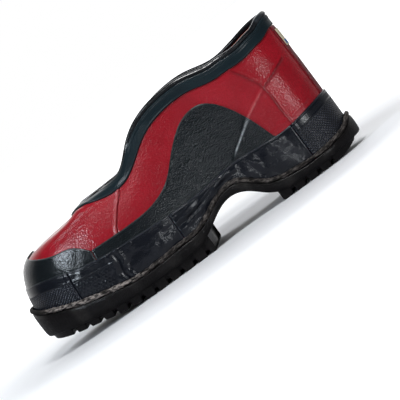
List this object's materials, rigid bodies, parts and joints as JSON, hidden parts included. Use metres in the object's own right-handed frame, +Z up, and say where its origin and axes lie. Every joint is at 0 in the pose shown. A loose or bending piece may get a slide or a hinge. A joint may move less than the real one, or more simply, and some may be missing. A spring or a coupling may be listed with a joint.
{
  "type": "rubber garden clog",
  "caption": "Low slip-on rubber clog laid up in plies, with a toe cap, side saddles, foxing strips, a bound collar, a cupped barred sole and a raised arch.",
  "frame": {"origin": "on the ground, at the middle of the clog's length and width", "axes": "+X along the clog to the toe, +Y to the wearer's left, which is the outer side of this left clog, +Z up"},
  "size_m": [0.3276, 0.1188, 0.1413],
  "materials": {
    "red_rubber": "fine pebble grain, low sheen",
    "dark_red_rubber": "fine grain, low sheen",
    "black_rubber": "semi-gloss, knurled on the foxing",
    "slate_rubber": "satin",
    "grey_brown_rubber": "rough matte",
    "gum_rubber": "matte, hidden",
    "lining_cloth": "knitted cloth, matte",
    "fibre_board": "matte, hidden",
    "label_cloth": "woven, matte"
  },
  "bodies": {
    "root": {"vamp": "red_rubber", "quarter_left": "red_rubber", "quarter_right": "red_rubber", "back_stay": "dark_red_rubber", "outsole": "black_rubber", "heel": "black_rubber", "toe_cap": "black_rubber", "saddle_left": "black_rubber", "saddle_right": "black_rubber", "foxing_toe": "black_rubber", "foxing_front_left": "black_rubber", "foxing_front_right": "black_rubber", "foxing_rear_left": "black_rubber", "foxing_rear_right": "black_rubber", "foxing_heel": "black_rubber", "topline_bead": "black_rubber", "topline_binding": "slate_rubber", "edge_bead": "grey_brown_rubber", "forefoot_filler": "gum_rubber", "shank_stiffener": "gum_rubber", "heel_filler": "gum_rubber", "toe_puff": "gum_rubber", "counter_ply": "gum_rubber", "ankle_strap_left": "gum_rubber", "ankle_strap_right": "gum_rubber", "lining_vamp": "lining_cloth", "lining_quarter_left": "lining_cloth", "lining_quarter_right": "lining_cloth", "sock_lining": "lining_cloth", "insole": "fibre_board", "heel_label": "label_cloth"}
  },
  "joints": []
}
